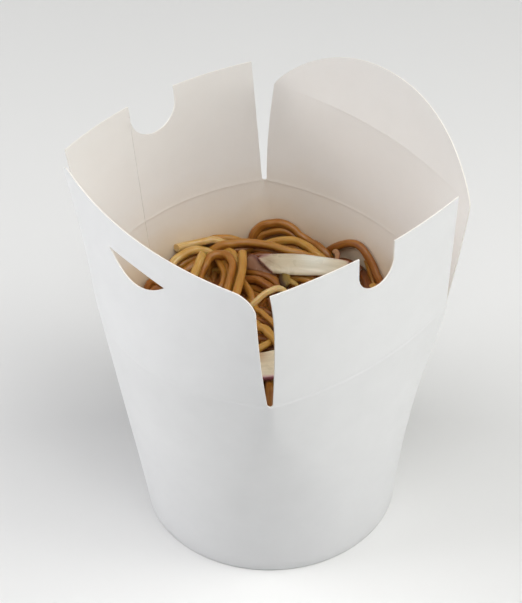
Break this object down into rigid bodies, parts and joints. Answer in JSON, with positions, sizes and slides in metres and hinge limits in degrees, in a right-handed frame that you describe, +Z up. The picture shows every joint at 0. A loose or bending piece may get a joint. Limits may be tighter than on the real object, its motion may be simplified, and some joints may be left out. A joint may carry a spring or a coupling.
{
  "type": "noodle takeaway box",
  "caption": "Round-based board takeaway box with hinged lid flaps and a tuck tongue standing open, filled with stir-fried noodles and slices of red onion.",
  "frame": {"origin": "on the plane the box stands on, below the middle of its whole footprint with the flaps open", "axes": "+Z up; +X towards the side with the tuck flap, -X towards the slotted flap, +Y and -Y towards the two notched flaps"},
  "size_m": [0.1126, 0.1138, 0.1527],
  "materials": {
    "coated_board": "satin",
    "noodles": "satin",
    "red_onion": "satin"
  },
  "bodies": {
    "box": {"box_wall": "coated_board", "base_disc": "coated_board", "noodle_heap": "noodles", "onion_slice_long": "red_onion", "onion_slice_under": "red_onion", "onion_slice_front": "red_onion"},
    "back_flap": {"flap_back": "coated_board"},
    "front_flap": {"flap_front": "coated_board"},
    "slotted_flap": {"flap_slotted": "coated_board"},
    "tuck_flap": {"flap_tuck": "coated_board"},
    "tongue": {"tuck_tongue": "coated_board"}
  },
  "joints": [
    {"name": "back_fold", "type": "hinge", "parent": "box", "child": "back_flap", "pos_m": [-0.00016, 0.04298, 0.0923], "axis": [1, 0, 0], "range_deg": [0, 98]},
    {"name": "front_fold", "type": "hinge", "parent": "box", "child": "front_flap", "pos_m": [-0.00016, -0.05012, 0.0923], "axis": [-1, 0, 0], "range_deg": [0, 96]},
    {"name": "slotted_fold", "type": "hinge", "parent": "box", "child": "slotted_flap", "pos_m": [-0.03851, -0.00357, 0.0923], "axis": [0, 1, 0], "range_deg": [0, 78]},
    {"name": "tuck_fold", "type": "hinge", "parent": "box", "child": "tuck_flap", "pos_m": [0.03819, -0.00357, 0.0923], "axis": [0, -1, 0], "range_deg": [0, 66]},
    {"name": "tongue_fold", "type": "hinge", "parent": "tuck_flap", "child": "tongue", "pos_m": [0.04499, -0.00357, 0.1296], "axis": [0, -1, 0], "range_deg": [0, 50]}
  ]
}
